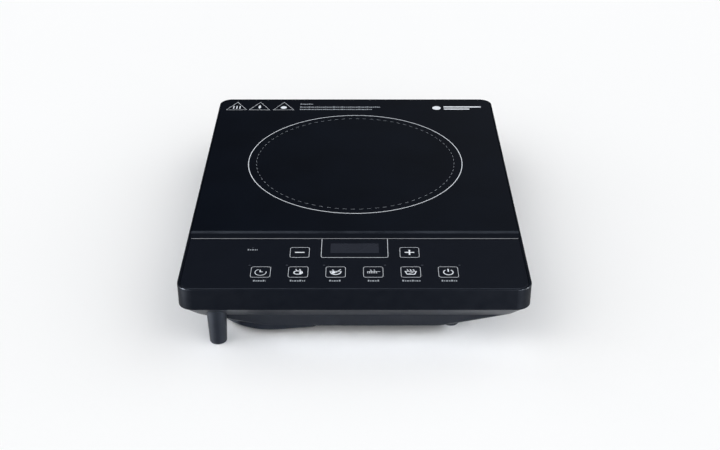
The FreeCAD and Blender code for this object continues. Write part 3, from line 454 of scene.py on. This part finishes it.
def blocks(layer, x0, x1, y, height, size, gap):
    """A row of small blocks that stands in for a line of small type."""
    widths = (1.0, 0.7, 1.25, 0.85, 1.1, 0.6, 1.2)
    x, i = x0, 0
    while x < x1 - 0.3:
        end = min(x1, x + size * widths[i % len(widths)])
        tall = height * (1.0 if i % 4 == 0 else 0.74)
        layer.area([(x, y), (end, y), (end, y + tall), (x, y + tall)])
        x, i = end + gap, i + 1


# =====================================================================================
# Prints on the glass, in millimetres
# =====================================================================================
RING_R, RING_W = 100.0, 0.62
DASH_R, DASH_W, DASHES, DASH_SHARE = 92.5, 0.25, 82, 0.48
SIGN_SIDE, SIGN_H, SIGN_W = 20.8, 18.6, 0.32
SIGN_X = (16.7, 40.1, 64.8)
SIGN_BASE = -24.9
BAR_STEP, DOT_R = 3.2, 3.1
NOTE_LINES = ((-12.0, 81.5, 94.5), (-19.3, 81.5, 163.5), (-24.9, 81.5, 155.0))
NOTE_BLOCK = (2.3, 1.6, 0.6)
MARK_X, MARK_Y, MARK_R, MARK_BARS_X = 217.0, -24.8, 4.3, 11.5
MARK_BARS = ((5.6, 50.0, 8.2, 1.2), (0.6, 38.0, 3.0, 1.1))


def print_glass():
    centre = (COIL.x, COIL.y)
    corner = (glass_low.x, glass_high.y)

    ring = Print("print_zone_ring", GLASS_TOP, centre=centre)
    ring.line(circle(RING_R, step=1.5), RING_W, closed=True)
    ring.make()

    dashes = Print("print_zone_dashes", GLASS_TOP, centre=centre, colour=INK_GREY)
    pitch = 360 / DASHES
    for i in range(DASHES):
        dashes.line(circle(DASH_R, start=i * pitch, end=(i + DASH_SHARE) * pitch, step=1), DASH_W)
    dashes.make()

    # Three plain triangles in the rear left corner, with bars, a lozenge and a dot in them
    signs = Print("print_signs", GLASS_TOP, centre=corner)
    half = SIGN_SIDE / 2
    low = SIGN_BASE
    for x in SIGN_X:
        signs.line([(x - half, low), (x + half, low), (x, low + SIGN_H)], SIGN_W, closed=True)
    bars_x, lozenge_x, dot_x = SIGN_X
    for step in (-BAR_STEP, 0, BAR_STEP):
        signs.line([(bars_x + step, low + 2.6), (bars_x + step, low + 9.4)], 1.0)
    lozenge = ((-1.5, 6.6), (0, 2.2), (1.5, 6.6), (0, 11.6))
    signs.area([(lozenge_x + x, low + y) for x, y in lozenge])
    signs.area(circle(DOT_R, dot_x, low + 5.6, step=15))
    signs.make()

    note = Print("print_note", GLASS_TOP, centre=corner, colour=INK_GREY)
    for y, x0, x1 in NOTE_LINES:
        blocks(note, x0, x1, y, *NOTE_BLOCK)
    note.make()

    # A plain mark of a dot and two bars in the rear right corner
    mark = Print("print_mark", GLASS_TOP, centre=corner)
    mark.area(circle(MARK_R, MARK_X + MARK_R, MARK_Y + MARK_R, step=10))
    for y0, x1, y1, radius in MARK_BARS:
        mark.area(rounded(MARK_X + MARK_BARS_X, MARK_Y + y0, MARK_X + x1, MARK_Y + y1, radius))
    mark.make()


# =====================================================================================
# Prints on the control plate and its keys, in millimetres
# =====================================================================================
BAR_LINE_Y, BAR_LINE_W, BAR_LINE_INSET = -1.9, 0.42, 0.9
FRAME_X, FRAME_Y0, FRAME_R, FRAME_W, FRAME_GAP = 27.3, -31.9, 1.6, 0.34, 0.7
KEY_LINE, KEY_LINE_R, KEY_LINE_W = 7.8, 1.9, 0.28
LABELS = {"timer": 5.0, "steam": 6.0, "soup": 4.9, "grill": 4.4, "hot_pot": 7.1, "power": 6.1}
LABEL_DOWN, LABEL_BLOCK = 13.9, (2.3, 1.2, 0.75)
HEAT_LABEL_X, HEAT_LABEL_DOWN, HEAT_LABEL_BLOCK = (-88.0, -80.0), 3.6, (2.0, 1.2, 0.75)


def print_plate():
    back = plate_high.y
    line = Print("print_bar_line", PLATE_TOP, centre=(0, back), colour=INK_SILVER)
    half = (plate_high.x - plate_low.x) / 2 / MM - BAR_LINE_INSET
    line.line([(-half, BAR_LINE_Y), (half, BAR_LINE_Y)], BAR_LINE_W)
    line.make()

    frame_line = Print("print_display_frame", PLATE_TOP, centre=(WINDOW.x, back))
    r = FRAME_R
    path = [(-FRAME_X, BAR_LINE_Y - FRAME_GAP)]
    path += circle(r, -FRAME_X + r, FRAME_Y0 + r, 180, 270, 15)
    path += circle(r, FRAME_X - r, FRAME_Y0 + r, 270, 360, 15)
    path += [(FRAME_X, BAR_LINE_Y - FRAME_GAP)]
    frame_line.line(path, FRAME_W)
    frame_line.make()

    outlines = Print("print_key_outlines", PLATE_TOP)
    labels = Print("print_key_labels", PLATE_TOP, colour=INK_GREY)
    for name in ICONS:
        low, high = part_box("key_" + name)
        x, y = (low.x + high.x) / 2 / MM, (low.y + high.y) / 2 / MM
        h = KEY_LINE
        outlines.line(rounded(x - h, y - h, x + h, y + h, KEY_LINE_R), KEY_LINE_W, closed=True)
        if name in LABELS:
            w = LABELS[name]
            blocks(labels, x - w, x + w, y - LABEL_DOWN, *LABEL_BLOCK)
    # The heat lamp's own label, left of the keys
    blocks(labels, *HEAT_LABEL_X, WINDOW.y / MM - HEAT_LABEL_DOWN, *HEAT_LABEL_BLOCK)
    outlines.make()
    labels.make()


def icon_timer(p):
    p.line(circle(4.5, 0, -0.4, 115, 375, 12), 0.5)
    p.line([(-0.5, 3.3), (-0.5, 0.3), (1.8, 0.3)], 0.7)


def icon_steam(p):
    p.line(rounded(-3.3, -3.2, 3.3, 1.5, 2.1), 0.9, closed=True)
    p.area([(0.9, -2.6), (2.6, -2.6), (2.8, 1.0), (1.2, 1.2)])
    for x in (-1.6, 1.4):
        p.line(wave(x, 2.1, 4.2), 0.6)


def icon_soup(p):
    p.line(circle(4.2, 0, 0.4, 185, 355, 12), 0.9)
    p.line([(-4.9, 0.9), (4.9, 0.9)], 0.6)
    p.line([(0.2, -0.6), (4.0, 3.9)], 0.8)
    p.area(circle(1.5, -1.6, -0.8, step=30))
    p.line(wave(-2.2, 1.6, 3.6), 0.6)


def icon_grill(p):
    p.line([(-4.9, 0.6), (5.6, 0.6)], 0.34)
    for i in range(6):
        x = -4.4 + 1.4 * i
        p.line([(x, 0.4), (x, -1.9)], 0.42)
    for x in (-1.8, 1.0):
        p.line(wave(x, 1.4, 3.4), 0.34)


def icon_hot_pot(p):
    p.line([(-4.3, 0.4), (-2.9, -3.4), (2.9, -3.4), (4.3, 0.4)], 0.8)
    p.line([(-5.0, 0.9), (5.0, 0.9)], 0.5)
    p.line([(-2.0, -2.6), (2.0, -0.4)], 0.5)
    for x in (-2.4, 0, 2.4):
        p.line(wave(x, 1.6, 3.8), 0.6)


def icon_power(p):
    p.line(circle(3.8, 0, -0.3, 125, 415, 12), 0.8)
    p.line([(0, 0.5), (0, 4.5)], 1.0)


def icon_minus(p):
    p.line([(-3.9, 0), (3.9, 0)], 1.3)


def icon_plus(p):
    p.line([(-3.9, 0), (3.9, 0)], 1.3)
    for sign in (-1, 1):
        p.line([(0, 0.65 * sign), (0, 3.9 * sign)], 1.3)


ICONS = {
    "timer": icon_timer,
    "steam": icon_steam,
    "soup": icon_soup,
    "grill": icon_grill,
    "hot_pot": icon_hot_pot,
    "power": icon_power,
    "minus": icon_minus,
    "plus": icon_plus,
}


def print_keys():
    for name, icon in ICONS.items():
        low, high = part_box("key_" + name)
        centre = ((low.x + high.x) / 2, (low.y + high.y) / 2)
        layer = Print("print_icon_" + name, high.z, "key_" + name, centre)
        icon(layer)
        layer.make()


# =====================================================================================
# Floor
# =====================================================================================
def add_floor():
    mesh = bmesh.new()
    half = 14.0
    corners = ((-half, -half, 0), (half, -half, 0), (half, half, 0), (-half, half, 0))
    mesh.faces.new([mesh.verts.new(corner) for corner in corners])
    data = bpy.data.meshes.new("floor")
    mesh.to_mesh(data)
    mesh.free()
    floor = bpy.data.objects.new("floor", data)
    scene.collection.objects.link(floor)
    f = Finish("floor_paper", (0.925, 0.932, 0.94), 0.9, gloss=0.0)
    f.shade(f.noise(0.6, 2), 0.006)
    data.materials.append(f.material)


add_camera()
add_world()
for lamp in LAMPS:
    add_area(*lamp)
add_floor()
dress_frame()
print_glass()
print_plate()
print_keys()
